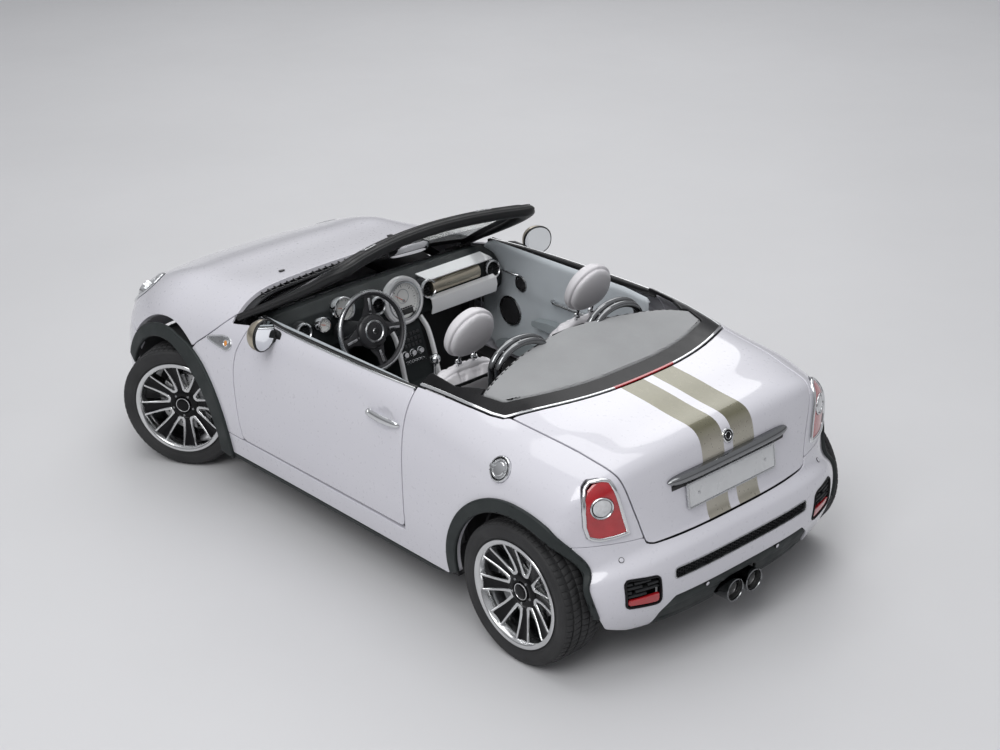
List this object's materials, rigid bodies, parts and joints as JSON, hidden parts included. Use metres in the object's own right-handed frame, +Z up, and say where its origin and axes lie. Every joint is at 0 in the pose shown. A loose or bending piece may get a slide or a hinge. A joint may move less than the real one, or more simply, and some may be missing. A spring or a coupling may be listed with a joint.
{
  "type": "roadster convertible",
  "caption": "Two-seat open roadster with a covered soft top, opening doors, bonnet, boot lid and fuel flap, steered front wheels and free-rolling wheels.",
  "frame": {"origin": "on the ground under the middle of the car", "axes": "+X forwards, +Y to the left, +Z up"},
  "size_m": [3.7195, 1.9064, 1.2696],
  "materials": {
    "paint": "pearl white metallic paint under clear lacquer",
    "dark_plastic": "dark grey moulded plastic",
    "frame_black": "satin black paint",
    "glass": "clear laminated glass",
    "soft_top_cloth": "grey woven acrylic cloth",
    "dark_chrome": "dark chrome",
    "white_leather": "white leather",
    "card_leather": "pale grey leather",
    "lamp_glass": "clear lamp cover over a chrome reflector",
    "lamp_red": "red lamp lens in a chrome frame",
    "engine_alloy": "cast alloy",
    "steel": "brushed stainless steel",
    "chrome": "polished chrome",
    "black_leather": "black leather with a satin metal ring",
    "tyre": "black rubber",
    "rim_alloy": "polished and black painted alloy"
  },
  "bodies": {
    "car_body": {"platform": "frame_black", "boot_tub": "frame_black", "front_bumper": "paint", "rear_bumper": "paint", "rear_vents": "dark_plastic", "valance": "dark_plastic", "grille": "dark_plastic", "fender_left": "paint", "fender_right": "paint", "quarter_left": "paint", "quarter_right": "paint", "arch_trims": "dark_plastic", "cowl": "dark_plastic", "screen_frame": "frame_black", "screen_glass": "glass", "deck_band": "dark_plastic", "soft_top": "soft_top_cloth", "roll_hoops": "dark_chrome", "dashboard": "dark_plastic", "console": "dark_plastic", "seat_left": "white_leather", "seat_right": "white_leather", "headlamps": "lamp_glass", "tail_lamps": "lamp_red", "front_subframe": "frame_black", "rear_axle": "frame_black", "engine": "engine_alloy", "exhaust": "steel", "fuel_ring": "chrome"},
    "bonnet": {"bonnet": "paint"},
    "boot_lid": {"boot_lid": "paint", "boot_trim": "chrome"},
    "door_left": {"door_left": "paint", "door_card_left": "card_leather", "mirror_left": "chrome"},
    "door_right": {"door_right": "paint", "door_card_right": "card_leather", "mirror_right": "chrome"},
    "fuel_flap": {"fuel_flap": "chrome"},
    "knuckle_left": {"knuckle_left": "frame_black"},
    "knuckle_right": {"knuckle_right": "frame_black"},
    "steering_wheel": {"steering_wheel": "black_leather"},
    "wheel_front_left": {"tyre_front_left": "tyre", "rim_front_left": "rim_alloy"},
    "wheel_front_right": {"tyre_front_right": "tyre", "rim_front_right": "rim_alloy"},
    "wheel_rear_left": {"tyre_rear_left": "tyre", "rim_rear_left": "rim_alloy"},
    "wheel_rear_right": {"tyre_rear_right": "tyre", "rim_rear_right": "rim_alloy"}
  },
  "joints": [
    {"name": "bonnet_hinge", "type": "hinge", "parent": "car_body", "child": "bonnet", "pos_m": [0.56, 0, 0.88], "axis": [0, -1, 0], "range_deg": [0, 50]},
    {"name": "boot_lid_hinge", "type": "hinge", "parent": "car_body", "child": "boot_lid", "pos_m": [-1.118, 0, 0.918], "axis": [0, 1, 0], "range_deg": [0, 70]},
    {"name": "door_left_hinge", "type": "hinge", "parent": "car_body", "child": "door_left", "pos_m": [0.59, 0.79, 0.5], "axis": [0, 0, -1], "range_deg": [0, 65]},
    {"name": "door_right_hinge", "type": "hinge", "parent": "car_body", "child": "door_right", "pos_m": [0.59, -0.79, 0.5], "axis": [0, 0, 1], "range_deg": [0, 65]},
    {"name": "fuel_flap_hinge", "type": "hinge", "parent": "car_body", "child": "fuel_flap", "pos_m": [-1.216, 0.78839, 0.816], "axis": [0, 0.5, -0.866], "range_deg": [0, 90]},
    {"name": "steer_left", "type": "hinge", "parent": "car_body", "child": "knuckle_left", "pos_m": [1.087, 0.7, 0.308], "axis": [0, 0, 1], "range_deg": [-60, 4]},
    {"name": "steer_right", "type": "hinge", "parent": "car_body", "child": "knuckle_right", "pos_m": [1.087, -0.7, 0.308], "axis": [0, 0, 1], "range_deg": [-60, 4]},
    {"name": "steering_wheel_turn", "type": "hinge", "parent": "car_body", "child": "steering_wheel", "pos_m": [0.033, 0.37, 0.876], "axis": [-0.9563, 0, 0.2924], "range_deg": [-840, 56]},
    {"name": "front_left_spin", "type": "hinge", "parent": "knuckle_left", "child": "wheel_front_left", "pos_m": [1.073, 0.72425, 0.308], "axis": [-0.5, 0.866, 0], "continuous": true},
    {"name": "front_right_spin", "type": "hinge", "parent": "knuckle_right", "child": "wheel_front_right", "pos_m": [1.101, -0.72425, 0.308], "axis": [-0.5, 0.866, 0], "continuous": true},
    {"name": "rear_left_spin", "type": "hinge", "parent": "car_body", "child": "wheel_rear_left", "pos_m": [-1.38, 0.728, 0.308], "axis": [0, 1, 0], "continuous": true},
    {"name": "rear_right_spin", "type": "hinge", "parent": "car_body", "child": "wheel_rear_right", "pos_m": [-1.38, -0.728, 0.308], "axis": [0, 1, 0], "continuous": true}
  ],
  "couplings": [
    {"joint": "steer_right", "follows": "steer_left", "ratio": 1},
    {"joint": "steering_wheel_turn", "follows": "steer_left", "ratio": 14}
  ]
}
